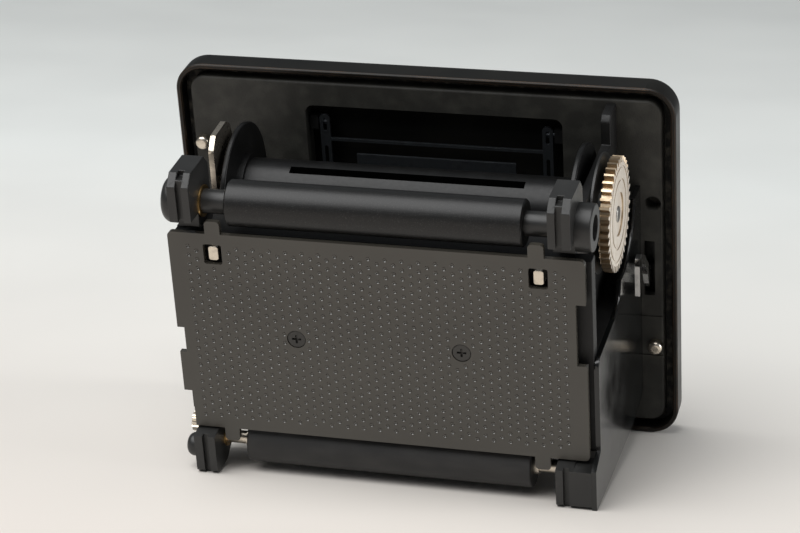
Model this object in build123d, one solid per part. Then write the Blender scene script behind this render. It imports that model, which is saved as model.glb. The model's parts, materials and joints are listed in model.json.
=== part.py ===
"""Roll-film insert for a 6 x 4.5 cm medium-format camera: the holder that carries 120 film behind
the lens, with its back cover. Units are millimetres. X runs along the film, Y from the film plane
back to the cover, Z up. The origin is the middle of the pressure plate's film face."""

from build123d import *
import math
import os

os.makedirs("parts", exist_ok=True)

# ---- driving dimensions -------------------------------------------------------------------------
PLATE_W, PLATE_H, PLATE_T = 75.2, 40.0, 1.0      # pressure plate
PLATE_CORNER = 0.9
TAB_X, TAB_W, TAB_TOP, TAB_BOTTOM = 29.1, 2.8, 2.5, 2.6
SIGHT_X, SIGHT_Z, SIGHT_W, SIGHT_H = 29.4, 16.0, 3.4, 3.9   # windows round the guide pins
SCREW_X = 15.15                                   # plate screws, each side of the middle
SCREW_HEAD_D, SCREW_THREAD_D = 3.2, 1.6
PLATE_TRAVEL = 0.8

ROLLER_D, ROLLER_LEN = 8.4, 53.4                  # both film rollers
ROLLER_Y, ROLLER_Z = 4.2, 24.4                    # axis, above and below the plate's middle
TOP_JOURNAL_D, BOTTOM_AXLE_D = 4.4, 2.4
BUSH_WALL = 0.6

BRACKET_IN, BRACKET_OUT = 31.8, 35.8              # roller brackets, in X
BRACKET_FRONT = -2.5
TOP_BRACKET_BACK, FOOT_BACK, FOOT_BOTTOM = 8.4, 8.0, -28.8
END_CAP_D, END_CAP_LEN = 8.5, 2.9

SPOOL_Y, SPOOL_TOP_Z, SPOOL_LOW_Z = 26.0, 16.0, -13.0
SPOOL_FLANGE_D, SPOOL_GAP, SPOOL_FLANGE_T = 25.1, 63.0, 1.0  # 120 spool
SPOOL_CORE_D, SPOOL_BORE_D, SPOOL_SLOT_LEN, SPOOL_SLOT_W = 12.0, 4.4, 44.0, 1.7
SPOOL_SLOT_LEAN = 20.0                            # degrees from upright

WHEEL_TEETH, WHEEL_MODULE, WHEEL_T = 40, 0.5, 1.8
WHEEL_OUT_X = 38.6                                # outer face of the toothed wheel
SHAFT_D = 5.0

CHEEK_T = 1.8                                     # left and right side walls
RIGHT_CHEEK_X = 33.2                              # inner face of the right side wall
GLOSS_OUT_X, GLOSS_T = 39.2, 0.9                  # polished right-hand side cover
SIDE_FRONT_Y = 2.0
LEDGE_Z, WHEEL_BAY_D = -0.5, 24.6                 # side cover: its step, and its cut round the wheel

PANEL_Y, PANEL_T = 43.5, 1.5                      # inner panel, the body's mounting face
COVER_W, COVER_H, COVER_CORNER = 96.2, 73.0, 5.6
COVER_X, COVER_Z = -2.1, -3.5                     # middle of the cover
LIP_Y, LIP_T, COVER_BACK_Y, COVER_WALL = 43.0, 1.0, 49.6, 2.0
SEAL_GAP, SEAL_T = 1.65, 1.3                      # light-trap groove between lip and panel
WINDOW_HALF, WINDOW_TOP, WINDOW_LOW = 24.8, 25.6, 6.4

LEVER_X, LEVER_T = -34.4, 1.0                     # spool release levers
LEVER_HINGE_GAP = 2.5                             # hinge axis from the mirror line of the two spools
SPOOL_PIN_D = 4.2

LATCH_Y, LATCH_T = 45.35, 0.8                     # sliding latch plate behind the panel
LATCH_TRAVEL = 2.5
HOOK_X, HOOK_T = 40.7, 0.95
LATCH_SLOT_LOW, LATCH_SLOT_HIGH = -9.8, 1.7
CAM_Y, CAM_T, CAM_D = 46.4, 0.8, 16.5            # spiral cam disc on the key's shaft
CAM_SEAT_D = 3.6
FOLLOWER_D, FOLLOWER_REST_R = 1.8, 4.0
KEY_SHAFT_D, KEY_TURN = 5.0, 90.0

FIT = 0.03          # radial clearance of a shaft in its hole
LOOSE = 0.3         # clearance between bodies that pass each other

MID_Z = (SPOOL_TOP_Z + SPOOL_LOW_Z) / 2
PLATE_TOP = PLATE_H / 2


# ---- helpers ------------------------------------------------------------------------------------
def block(x0, x1, y0, y1, z0, z1):
    """A box between its low and high corners."""
    middle = ((x0 + x1) / 2, (y0 + y1) / 2, (z0 + z1) / 2)
    return Pos(*middle) * Box(abs(x1 - x0), abs(y1 - y0), abs(z1 - z0))


def rod_x(y, z, diameter, x0, x1):
    """A round bar along X."""
    return extrude(Plane.YZ.offset(x0) * Pos(y, z) * Circle(diameter / 2), x1 - x0)


def rod_y(x, z, diameter, y0, y1):
    """A round bar along Y."""
    return extrude(Plane.XZ.offset(-y1) * Pos(x, z) * Circle(diameter / 2), y1 - y0)


def side_plate(outline, x0, x1):
    """A plate of the (y, z) outline, from x0 to x1."""
    return extrude(Plane.YZ.offset(x0) * outline, x1 - x0)


def face_plate(outline, y0, y1):
    """A plate of the (x, z) outline, from y0 to y1."""
    return extrude(Plane.XZ.offset(-y1) * outline, y1 - y0)


def shape(*points):
    """A flat outline with straight sides."""
    return make_face(Polyline(*points, close=True))


def panel_outline(width, height, radius, x=0.0, z=0.0):
    return Pos(x, z) * RectangleRounded(width, height, radius)


def mirrored(part):
    """The same part on the other side of X = 0."""
    return mirror(part, about=Plane.YZ)


def write(name, part):
    part.label = name
    export_step(part, f"parts/{name}.step")


# ---- cover --------------------------------------------------------------------------------------
def cover_inner(offset):
    """The cover's outline drawn in by an offset."""
    radius = max(COVER_CORNER - offset, 0.8)
    return panel_outline(COVER_W - 2 * offset, COVER_H - 2 * offset, radius, COVER_X, COVER_Z)


def cover_shell():
    shell = face_plate(cover_inner(0), LIP_Y, COVER_BACK_Y)
    back_edges = shell.edges().filter_by(lambda e: abs(e.center().Y - COVER_BACK_Y) < 1e-3)
    shell = fillet(back_edges, 2.4)
    shell -= face_plate(cover_inner(LIP_T), LIP_Y - 1, FLOOR_Y)
    front = shell.edges().filter_by(lambda e: abs(e.center().Y - LIP_Y) < 1e-3)
    shell = chamfer(front, 0.25)
    shell -= rod_y(COVER_X, COVER_Z, KEY_SHAFT_D + 2 * FIT, CAM_Y - 1, COVER_BACK_Y + 1)
    posts = [
        rod_y(x, z, 5.0, PANEL_Y + PANEL_T, FLOOR_Y + 0.2)
        - rod_y(x, z, SCREW_THREAD_D, PANEL_Y, FLOOR_Y - 0.6)
        for x, z in PANEL_SCREWS
    ]
    return shell + posts


PANEL_SCREWS = [(-29.3, -22.0), (29.3, -22.0), (-29.3, 9.0), (29.3, 9.0)]
PANEL_IN = LIP_T + SEAL_GAP
FLOOR_Y = COVER_BACK_Y - COVER_WALL


def cover_light_seal():
    """Foam light seal lying in the groove between the lip and the panel."""
    ring = face_plate(cover_inner(LIP_T), FLOOR_Y - SEAL_T, FLOOR_Y)
    return ring - face_plate(cover_inner(PANEL_IN), FLOOR_Y - SEAL_T - 1, FLOOR_Y + 1)


def window_outline(grow=0.0):
    width, height = 2 * (WINDOW_HALF + grow), WINDOW_TOP - WINDOW_LOW + 2 * grow
    return panel_outline(width, height, 1.6, 0, (WINDOW_TOP + WINDOW_LOW) / 2)


def inner_panel():
    """The face that the chassis stands on: a tray with a rim that drops to the cover's floor."""
    panel = face_plate(cover_inner(PANEL_IN), PANEL_Y, FLOOR_Y)
    front = panel.edges().filter_by(lambda e: abs(e.center().Y - PANEL_Y) < 1e-3)
    panel = fillet(front, 0.5)
    panel -= face_plate(cover_inner(PANEL_IN + 1.4), PANEL_Y + PANEL_T, FLOOR_Y + 1)
    panel += face_plate(window_outline(1.2), PANEL_Y + PANEL_T - 0.1, FLOOR_Y)
    panel -= face_plate(window_outline(), PANEL_Y - 1, FLOOR_Y + 1)
    for side in (-1, 1):
        x = latch_side(side)
        panel -= block(x - 1.05, x + 1.05, PANEL_Y - 1, FLOOR_Y - 1.6, LATCH_SLOT_LOW, LATCH_SLOT_HIGH)
    panel += rod_y(*DOWEL, DOWEL_D + 0.8, PANEL_Y + 0.2, FLOOR_Y)
    panel -= rod_y(*DOWEL, DOWEL_D, PANEL_Y - 1, FLOOR_Y - 0.8)
    for x, z in PANEL_SCREWS:
        panel -= rod_y(x, z, SCREW_THREAD_D + 0.4, PANEL_Y - 1, FLOOR_Y)
        panel -= rod_y(x, z, SCREW_HEAD_D + 0.2, PANEL_Y - 1, PANEL_Y + 0.8)
    for x, z in LOCATING_PINS:
        panel -= rod_y(x, z, 1.6, PANEL_Y - 1, FLOOR_Y)
    panel -= [rod_y(x, z, 1.6, PANEL_Y + 0.6, FLOOR_Y) for x, z in GUIDE_RIVETS]
    panel -= [block(38.2, 43.3, PANEL_Y - 1, PANEL_Y + 0.2, z, z + 0.4) for z in PANEL_SEAMS]
    return panel


DOWEL, DOWEL_D = (41.5, 9.6), 3.0
LOCATING_PIN_D, LOCATING_PIN_LEN = 2.8, 1.8
LOCATING_PINS = [(-45.7, 16.8), (41.8, -20.6)]
GUIDE_RIVETS = [(-16.0, -7.6), (16.0, -7.6)]
PANEL_SEAMS = (-14.4, -22.9)                         # shallow lines across the panel's right edge


def latch_side(side):
    """X of the latch hook on the left (-1) or right (1), the same distance from the cover's middle."""
    return COVER_X + side * (HOOK_X - COVER_X)


def locating_pins():
    """Two domed nickel pins that find holes in the camera body."""
    pins = []
    for x, z in LOCATING_PINS:
        pin = rod_y(x, z, LOCATING_PIN_D, PANEL_Y - LOCATING_PIN_LEN, PANEL_Y)
        tip = pin.edges().filter_by(lambda e: abs(e.center().Y - PANEL_Y + LOCATING_PIN_LEN) < 1e-3)
        pin = fillet(tip, 0.8)
        pins.append(pin + rod_y(x, z, 1.6 - 2 * FIT, PANEL_Y, PANEL_Y + PANEL_T + 0.5))
    return Compound(children=pins)


def screw(x, z, y_head, length, depth=0.75):
    """A cross-recessed screw whose head's outer face is at y_head, pointing to +Y."""
    body = rod_y(x, z, SCREW_HEAD_D, y_head, y_head + depth)
    body += rod_y(x, z, SCREW_THREAD_D - 0.05, y_head + depth, y_head + length)
    cross = Pos(x, y_head, z) * (Box(1.7, 0.9, 0.42) + Box(0.42, 0.9, 1.7))
    return body - cross


def panel_screws():
    return Compound(children=[screw(x, z, PANEL_Y + 0.02, 3.2) for x, z in PANEL_SCREWS])


# ---- latch --------------------------------------------------------------------------------------
def hook(x):
    """One chrome hook: it slopes up through the slot, arches over and points down in front."""
    rear, nose = LATCH_Y + LATCH_T, PANEL_Y - 12.3
    outline = shape(
        (rear, -6.6), (PANEL_Y - 2.4, -6.6), (PANEL_Y - 3.4, -5.4), (PANEL_Y - 4.6, -2.8),
        (PANEL_Y - 7.0, 0.6), (PANEL_Y - 9.4, 2.2), (nose + 1.8, 1.4), (nose + 1.8, -3.4),
        (nose, -3.4), (nose, 2.8), (nose + 0.5, 4.0), (nose + 2.0, 4.3), (PANEL_Y - 7.2, 2.6),
        (PANEL_Y - 3.6, -0.8), (PANEL_Y - 1.8, -3.4), (LATCH_Y, -4.4), (rear, -4.4),
    )
    return side_plate(outline, x - HOOK_T / 2, x + HOOK_T / 2)


SLIDE_LOW, SLIDE_HIGH = -10.2, -2.6
RIVET_D = 2.4


def latch_slide():
    """The sliding plate behind the panel with the cam follower on its back. Rest is released, high."""
    y0, y1 = LATCH_Y, LATCH_Y + LATCH_T
    end = HOOK_X - COVER_X + HOOK_T / 2
    plate = block(COVER_X - end + 4, COVER_X + end - 4, y0, y1, SLIDE_LOW, SLIDE_HIGH)
    plate += block(COVER_X - end, COVER_X + end, y0, y1, -6.6, -4.4)
    plate -= slot_hole(COVER_X, COVER_Z, COVER_Z + LATCH_TRAVEL, KEY_SHAFT_D + 1.0)
    for x, z in GUIDE_RIVETS:
        plate -= slot_hole(x, z, z + LATCH_TRAVEL, RIVET_D + 0.2)
    follower = rod_y(COVER_X, COVER_Z - FOLLOWER_REST_R, FOLLOWER_D, y1 - 0.1, CAM_Y + CAM_T)
    return plate + hook(latch_side(-1)) + hook(latch_side(1)) + follower


def slot_hole(x, z0, z1, width):
    """A slot along Z, right through the latch plate."""
    y0, y1 = LATCH_Y - 1, LATCH_Y + LATCH_T + 0.2
    return rod_y(x, z0, width, y0, y1) + rod_y(x, z1, width, y0, y1) + block(
        x - width / 2, x + width / 2, y0, y1, z0, z1)


def latch_guide_rivets():
    """Shoulder rivets that hold the slide to the panel and let it move up and down."""
    rivets = []
    for x, z in GUIDE_RIVETS:
        rivet = rod_y(x, z, RIVET_D, PANEL_Y + PANEL_T, LATCH_Y + LATCH_T + 0.08)
        rivet += rod_y(x, z, RIVET_D + 1.4, LATCH_Y + LATCH_T + 0.08, LATCH_Y + LATCH_T + 0.6)
        rivets.append(rivet + rod_y(x, z, 1.6 - 2 * FIT, PANEL_Y + 0.62, PANEL_Y + PANEL_T))
    return Compound(children=rivets)


def lock_cam_disc():
    """Disc with a spiral slot: each degree of turn moves the follower down by the same amount."""
    disc = rod_y(COVER_X, COVER_Z, CAM_D, CAM_Y, CAM_Y + CAM_T)
    half = FOLLOWER_D / 2 + 0.08
    rise = LATCH_TRAVEL / KEY_TURN
    inner, outer = [], []
    for step in range(-18, 109, 3):
        radius = FOLLOWER_REST_R + rise * step
        turn = math.radians(-90 + step)
        lean = math.atan(math.degrees(rise) / radius)
        for side, line in ((-1, inner), (1, outer)):
            line.append((COVER_X + radius * math.cos(turn) + side * half * math.cos(turn - lean),
                         COVER_Z + radius * math.sin(turn) + side * half * math.sin(turn - lean)))
    disc -= face_plate(shape(*inner, *reversed(outer)), CAM_Y - 1, CAM_Y + CAM_T + 1)
    return disc - rod_y(COVER_X, COVER_Z, CAM_SEAT_D, CAM_Y - 1, CAM_Y + CAM_T + 1)


def lock_key_hub():
    """The turning key: shaft through the cover and a slotted boss outside."""
    boss = rod_y(COVER_X, COVER_Z, 13.0, COVER_BACK_Y + 0.8, COVER_BACK_Y + 2.2)
    rim = boss.edges().filter_by(lambda e: abs(e.center().Y - COVER_BACK_Y - 2.2) < 1e-3)
    boss = fillet(rim, 0.4)
    boss += rod_y(COVER_X, COVER_Z, KEY_SHAFT_D, CAM_Y + CAM_T, COVER_BACK_Y + 0.9)
    boss += rod_y(COVER_X, COVER_Z, CAM_SEAT_D, CAM_Y, CAM_Y + CAM_T)
    boss -= block(COVER_X - 6.9, COVER_X + 6.9, COVER_BACK_Y + 1.1, COVER_BACK_Y + 3,
                  COVER_Z - 2.3, COVER_Z + 7)
    lugs = [rod_x(HANDLE_Y, COVER_Z, 2.2, COVER_X + a, COVER_X + b)
            + block(COVER_X + a, COVER_X + b, COVER_BACK_Y + 1.0, HANDLE_Y,
                    COVER_Z - 1.1, COVER_Z + 1.1)
            for a, b in ((-5.6, -4.0), (4.0, 5.6))]
    hub = boss + lugs
    hub -= rod_x(HANDLE_Y, COVER_Z, 1.0 + 2 * FIT, COVER_X - 7, COVER_X + 7)
    return hub


HANDLE_Y = COVER_BACK_Y + 2.4
HANDLE_LEN, HANDLE_W, HANDLE_T = 13.0, 17.0, 1.5


def lock_key_handle():
    """The folding D-ring grip, folded flat along +Z from its pin."""
    ring = Pos(COVER_X, COVER_Z + HANDLE_LEN / 2 + 0.2) * RectangleRounded(HANDLE_W, HANDLE_LEN + 3.4, 5)
    ring -= Pos(COVER_X, COVER_Z + HANDLE_LEN / 2 + 0.7) * RectangleRounded(
        HANDLE_W - 6.0, HANDLE_LEN - 2.0, 2.6)
    grip = face_plate(ring, HANDLE_Y - HANDLE_T / 2, HANDLE_Y + HANDLE_T / 2)
    grip -= block(COVER_X - 20, COVER_X + 20, HANDLE_Y - 3, HANDLE_Y + 3, COVER_Z - 9, COVER_Z - 1.1)
    grip -= block(COVER_X - 5.9, COVER_X + 5.9, HANDLE_Y - 3, HANDLE_Y + 3, COVER_Z - 1.5, COVER_Z + 1.6)
    grip += [rod_x(HANDLE_Y, COVER_Z, 2.2, COVER_X + a, COVER_X + b) for a, b in ((-8.4, -5.9), (5.9, 8.4))]
    return grip - rod_x(HANDLE_Y, COVER_Z, 1.0 + 2 * FIT, COVER_X - 9, COVER_X + 9)


def handle_pin():
    return rod_x(HANDLE_Y, COVER_Z, 1.0, COVER_X - 8.3, COVER_X + 8.3)


def lock_escutcheon():
    """Fixed ring on the cover round the key."""
    ring = rod_y(COVER_X, COVER_Z, 22.0, COVER_BACK_Y, COVER_BACK_Y + 0.6)
    rim = ring.edges().filter_by(lambda e: abs(e.center().Y - COVER_BACK_Y - 0.6) < 1e-3)
    return fillet(rim, 0.3) - rod_y(COVER_X, COVER_Z, KEY_SHAFT_D + 0.4, COVER_BACK_Y - 1,
                                    COVER_BACK_Y + 1)


# ---- film-roll guide in the panel's window ------------------------------------------------------
ARM_X, ARM_W, ARM_TOP, ARM_LOW, ARM_Y, ARM_T = 21.6, 2.0, 23.2, 8.0, 45.0, 0.5
ARM_ROD_Z, ARM_ROD_D = 21.4, 1.2


def roll_guide():
    """Stamped spring guide: two slotted arms, a cross bar and a plate that rests on the roll."""
    outline = Sketch()
    for side in (-1, 1):
        x = side * ARM_X
        arm = Pos(x, (ARM_TOP + ARM_LOW) / 2) * RectangleRounded(ARM_W, ARM_TOP - ARM_LOW, 0.9)
        arm -= Pos(x, 21.0) * RectangleRounded(0.7, 2.6, 0.34)
        arm -= Pos(x, 13.6) * RectangleRounded(0.7, 6.0, 0.34)
        outline += arm
    bars = [Pos(0, z) * Rectangle(2 * ARM_X - 1, h) for z, h in ((18.0, 0.6), (9.0, 1.2))]
    guide = face_plate(outline + bars, ARM_Y, ARM_Y + ARM_T)
    pad = face_plate(Pos(0, 14.4) * Rectangle(31, 2.2), ARM_Y - 0.6, ARM_Y - 0.1)
    webs = [block(x - 0.8, x + 0.8, ARM_Y - 0.6, ARM_Y + ARM_T, 9.2, 13.6) for x in (-10.0, 0.0, 10.0)]
    rod = rod_x(ARM_ROD_Y, ARM_ROD_Z, ARM_ROD_D, 21.0, 23.6) + rod_x(
        ARM_ROD_Y, ARM_ROD_Z, ARM_ROD_D, -23.6, -21.0)
    cut = rod_x(ARM_ROD_Y, ARM_ROD_Z, ARM_ROD_D - 0.05, -24, 24)
    return (guide - cut) + pad + webs + rod


ARM_ROD_Y = ARM_Y + ARM_T + ARM_ROD_D / 2 - 0.2


def roll_guide_supports():
    """Two small posts in the window that carry the guide's rod."""
    posts = []
    for side in (-1, 1):
        low, high = sorted((side * 22.9, side * 24.5))
        post = block(low, high, ARM_Y, FLOOR_Y, ARM_ROD_Z - 1.4, ARM_ROD_Z + 1.4)
        posts.append(post - rod_x(ARM_ROD_Y, ARM_ROD_Z, ARM_ROD_D + 2 * FIT, -25, 25))
    return Compound(children=posts)


# ---- chassis ------------------------------------------------------------------------------------
BRIDGE_Y, BRIDGE_T, BRIDGE_HALF = 3.6, 1.6, 33.0


def front_bridge():
    """Moulded frame behind the pressure plate, tying the two side walls together."""
    x0, x1, half_z = -BRIDGE_HALF, RIGHT_CHEEK_X + CHEEK_T, 18.6
    bridge = block(x0, x1, BRIDGE_Y, BRIDGE_Y + BRIDGE_T, -half_z, half_z)
    for z in (half_z, -half_z):
        low, high = sorted((z, z - math.copysign(1.4, z)))
        bridge += block(x0, RIGHT_CHEEK_X, BRIDGE_Y + BRIDGE_T - 0.1, 12.5, low, high)
    for x in (-SCREW_X, SCREW_X):
        bridge -= rod_y(x, 0, 3.4, BRIDGE_Y - 1, BRIDGE_Y + BRIDGE_T + 1)
    for side in (-1, 1):
        bridge -= rod_y(side * SIGHT_X, SIGHT_Z, 1.4, BRIDGE_Y - 1, BRIDGE_Y + BRIDGE_T + 1)
    return bridge


def spool_divider():
    """Wall between the take-up chamber and the supply chamber, hollowed to both film rolls."""
    top, low = MID_Z + 1.1, MID_Z - 1.1
    outline = shape((6.5, low), (36.0, low), (PANEL_Y, low - 2.6), (PANEL_Y, top + 2.6),
                    (36.0, top), (6.5, top))
    return side_plate(outline, LEVER_X + LEVER_T + 1.3, RIGHT_CHEEK_X)


def left_cheek():
    """Left side wall, cut away where the two release levers swing out."""
    x0, x1 = -BRACKET_OUT - CHEEK_T, -BRACKET_OUT
    wall = block(x0, x1, 5.0, PANEL_Y, -28.0, 18.6)
    for z0, z1 in ((MID_Z + 8.5, 30.0), (-40.0, MID_Z - 8.5)):
        wall -= block(x0 - 1, x1 + 1, 13.5, 38.0, z0, z1)
    flange = block(x1 - 0.1, -BRIDGE_HALF, BRIDGE_Y, BRIDGE_Y + BRIDGE_T, -18.4, 18.4)
    flange += block(x0, x1, BRIDGE_Y, 5.1, -18.4, 18.4)
    base = block(x1 - 0.1, -33.0, PANEL_Y - 2.0, PANEL_Y, -24.0, 14.0)
    lugs = [block(x1 - 0.1, LEVER_HINGE_X + 1.4, y0, y0 + 1.8, z - 1.6, z + 1.6)
            for y0 in (15.6, 34.6) for z in LEVER_HINGE_Z]
    cheek = wall + flange + base + lugs
    return cheek - [rod_y(LEVER_HINGE_X, z, 1.4 + 2 * FIT, 15, 37) for z in LEVER_HINGE_Z]


LEVER_HINGE_X = LEVER_X + LEVER_T / 2
LEVER_HINGE_Z = (MID_Z + LEVER_HINGE_GAP, MID_Z - LEVER_HINGE_GAP)


def right_cheek():
    """Inner right side wall with the take-up bearing, the rear post and the supply stud hole."""
    x0, x1 = RIGHT_CHEEK_X, RIGHT_CHEEK_X + CHEEK_T
    wall = block(x0, x1, BRIDGE_Y + BRIDGE_T, PANEL_Y, -28.0, 24.0)
    wall += block(x0, x1, PANEL_Y - 6.2, PANEL_Y, 23.0, 29.6)
    wall -= block(x0 - 1, x1 + 1, 0, 12.5, 18.6, 40)
    wall -= block(x0 - 1, x1 + 1, 0, FOOT_BACK, -40, -18.8)
    wall -= rod_x(SPOOL_Y, SPOOL_TOP_Z, SHAFT_D + 2 * FIT, x0 - 1, x1 + 1)
    wall -= rod_x(SPOOL_Y, SPOOL_LOW_Z, 2.4, x0 - 1, x1 + 1)
    post_top = wall.edges().filter_by(lambda e: abs(e.center().Z - 29.6) < 1e-3
                                      and abs(e.center().Y - PANEL_Y + 6.2) < 1e-3)
    return chamfer(post_top, 1.0)


FOOT_PAD_BACK = 5.2


def right_ledge():
    """Front strip and step of the right-hand housing, below and in front of the toothed wheel."""
    x0, x1 = RIGHT_CHEEK_X + CHEEK_T, GLOSS_OUT_X - GLOSS_T
    back = FOOT_PAD_BACK
    strip = block(x0, x1, SIDE_FRONT_Y + 0.3, back, -19.0, 18.8)
    top = block(x0, x1, back - 0.1, PANEL_Y, LEDGE_Z - 1.2, LEDGE_Z)
    floor = side_plate(shape((back, -29.0), (34.6, -31.6), (PANEL_Y - 1.6, -30.8), (PANEL_Y, -29.6),
                             (PANEL_Y, -27.6), (back, -27.6)), x0, x1)
    tail = block(x0, x1, back, back + 1.2, -28.6, -18.0)
    return strip + top + floor + tail


def right_side_cover():
    """Polished side cover, cut round the toothed wheel."""
    x0, x1 = GLOSS_OUT_X - GLOSS_T, GLOSS_OUT_X
    front = SIDE_FRONT_Y
    rise_y, rise_z = 24.0, LEDGE_Z + 5.4
    sides = Polyline(
        (17.0, LEDGE_Z), (front, LEDGE_Z), (front, -18.9), (BRACKET_FRONT, -20.6),
        (BRACKET_FRONT, FOOT_BOTTOM), (34.6, -32.2), (PANEL_Y - 1.6, -31.4), (PANEL_Y, -30.0),
        (PANEL_Y, 13.2), (rise_y, 13.2), (rise_y, rise_z))
    sweep_up = Spline((rise_y, rise_z), (17.0, LEDGE_Z), tangents=((-0.15, -1), (-1, 0)))
    plate = side_plate(make_face([sides, sweep_up]), x0, x1)
    corner = plate.edges().filter_by(Axis.X).sort_by(lambda e: abs(e.center().Y - front)
                                                     + abs(e.center().Z - LEDGE_Z))[0:1]
    plate = fillet(corner, 1.8)
    return plate - rod_x(SPOOL_Y, SPOOL_TOP_Z, WHEEL_BAY_D, x0 - 1, x1 + 1)


WHEEL_TIP_D = WHEEL_MODULE * (WHEEL_TEETH + 2)


def supply_floor():
    """Curved light-tight bottom wall of the supply chamber."""
    outer, inner = SPOOL_FLANGE_D / 2 + 2.2, SPOOL_FLANGE_D / 2 + 1.0
    ring = Pos(SPOOL_Y, SPOOL_LOW_Z) * (Circle(outer) - Circle(inner))
    keep = Pos(SPOOL_Y, SPOOL_LOW_Z - outer / 2 - 5.8) * Rectangle(2 * outer, outer)
    flat = shape((SPOOL_Y + 9.0, SPOOL_LOW_Z - 12.2), (PANEL_Y, SPOOL_LOW_Z - 12.2),
                 (PANEL_Y, SPOOL_LOW_Z - 11.0), (SPOOL_Y + 8.0, SPOOL_LOW_Z - 11.0))
    return side_plate((ring & keep) + flat, -33.0, RIGHT_CHEEK_X)


# ---- roller brackets ----------------------------------------------------------------------------
def bracket(bottom, x1=BRACKET_OUT):
    """One roller bracket on the right-hand side, top or bottom, without its end fitting."""
    x0, y0 = BRACKET_IN, BRACKET_FRONT
    if bottom:
        outline = shape((y0, -20.9), (y0, FOOT_BOTTOM + 0.8), (y0 + 0.8, FOOT_BOTTOM),
                        (3.2, FOOT_BOTTOM), (6.6, -26.6), (FOOT_BACK, -23.8),
                        (FOOT_BACK, -19.0), (5.2, -19.0),
                        (5.2, -20.3), (1.4, -20.3))
        axis_z = -ROLLER_Z
    else:
        outline = shape((y0, 23.2), (y0, 30.0), (y0 + 2.0, 32.0), (6.6, 32.0),
                        (TOP_BRACKET_BACK, 30.0), (TOP_BRACKET_BACK, 19.0), (5.2, 19.0),
                        (5.2, 20.6), (1.4, 20.6), (1.4, 23.2))
        axis_z = ROLLER_Z
    part = side_plate(outline, x0, x1)
    groove = block(x0 + 1.35, x0 + 2.45, y0 - 1, y0 + 0.9, axis_z - 12, axis_z + 12)
    part -= groove
    if not bottom:
        part -= block(x0 + 1.35, x0 + 2.45, y0, y0 + 3.0, 31.0, 33.0)
    return part


def top_bracket(side):
    part = bracket(bottom=False)
    part -= rod_x(ROLLER_Y, ROLLER_Z, TOP_JOURNAL_D + 2 * BUSH_WALL, BRACKET_IN - 1, BRACKET_IN + 2.4)
    part -= rod_x(ROLLER_Y, ROLLER_Z, TOP_JOURNAL_D + 0.4, BRACKET_IN, BRACKET_OUT + 0.02)
    return part if side > 0 else mirrored(part)


def top_left_cap():
    """Domed cap over the left end of the top roller's journal."""
    cap = rod_x(ROLLER_Y, ROLLER_Z, END_CAP_D, BRACKET_OUT, BRACKET_OUT + END_CAP_LEN)
    rim = cap.edges().filter_by(lambda e: abs(e.center().X - BRACKET_OUT - END_CAP_LEN) < 1e-3)
    return mirrored(fillet(rim, 1.6))


def top_right_tube():
    """Open bearing tube over the right end of the top roller's journal."""
    tube = rod_x(ROLLER_Y, ROLLER_Z, END_CAP_D, BRACKET_OUT, BRACKET_OUT + END_CAP_LEN)
    rim = tube.edges().filter_by(lambda e: abs(e.center().X - BRACKET_OUT - END_CAP_LEN) < 1e-3)
    return fillet(rim, 0.3) - rod_x(ROLLER_Y, ROLLER_Z, 4.6, BRACKET_OUT - 1, BRACKET_OUT + 9)


def bush(side, axis_z, bore, wall):
    """A flanged brass bush pressed into a bracket from the roller's side."""
    tube = rod_x(ROLLER_Y, axis_z, bore + 2 * wall, BRACKET_IN, BRACKET_IN + 2.3)
    tube += rod_x(ROLLER_Y, axis_z, bore + 2 * wall + 0.2, BRACKET_IN - 0.3, BRACKET_IN)
    tube -= rod_x(ROLLER_Y, axis_z, bore + 2 * FIT, BRACKET_IN - 2, BRACKET_IN + 4)
    return tube if side > 0 else mirrored(tube)


def bottom_left_foot():
    part = bracket(bottom=True)
    part -= rod_x(ROLLER_Y, -ROLLER_Z, BOTTOM_AXLE_D + 2 * BUSH_WALL, BRACKET_IN - 1, BRACKET_IN + 2.4)
    return mirrored(part)


def bottom_right_foot():
    """The right foot is wider: it reaches out to the polished side cover."""
    inner_x1 = RIGHT_CHEEK_X + CHEEK_T
    part = bracket(bottom=True, x1=inner_x1)
    wide = shape((BRACKET_FRONT, -20.9), (BRACKET_FRONT, FOOT_BOTTOM + 0.8),
                 (BRACKET_FRONT + 0.8, FOOT_BOTTOM), (FOOT_PAD_BACK, FOOT_BOTTOM),
                 (FOOT_PAD_BACK, -19.2), (2.4, -19.2), (2.2, -20.6))
    part += side_plate(wide, inner_x1 - 0.1, GLOSS_OUT_X - GLOSS_T)
    part -= rod_x(ROLLER_Y, -ROLLER_Z, BOTTOM_AXLE_D + 2 * BUSH_WALL, BRACKET_IN - 1, BRACKET_IN + 2.4)
    return part


def foot_stud():
    """Dome-headed stud on the outside of the left foot."""
    stud = rod_x(1.6, -25.2, 4.4, BRACKET_OUT, BRACKET_OUT + 2.7)
    rim = stud.edges().filter_by(lambda e: abs(e.center().X - BRACKET_OUT - 2.7) < 1e-3)
    return mirrored(fillet(rim, 1.3))


def eccentric_screw():
    """Small knurled nickel adjuster above the left foot, on the side wall's edge."""
    ridges, outer, root = 16, 1.9, 1.65
    points = []
    for i in range(ridges):
        for share, radius in ((0.0, root), (0.25, outer), (0.5, outer), (0.75, root)):
            a = 2 * math.pi * (i + share) / ridges
            points.append((2.9 + radius * math.cos(a), -20.9 + radius * math.sin(a)))
    head = side_plate(shape(*points), -BRACKET_OUT - 1.6, -BRACKET_OUT - 0.2)
    return head + rod_x(2.9, -20.9, 1.6, -BRACKET_OUT - 0.3, -BRACKET_OUT)


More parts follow.
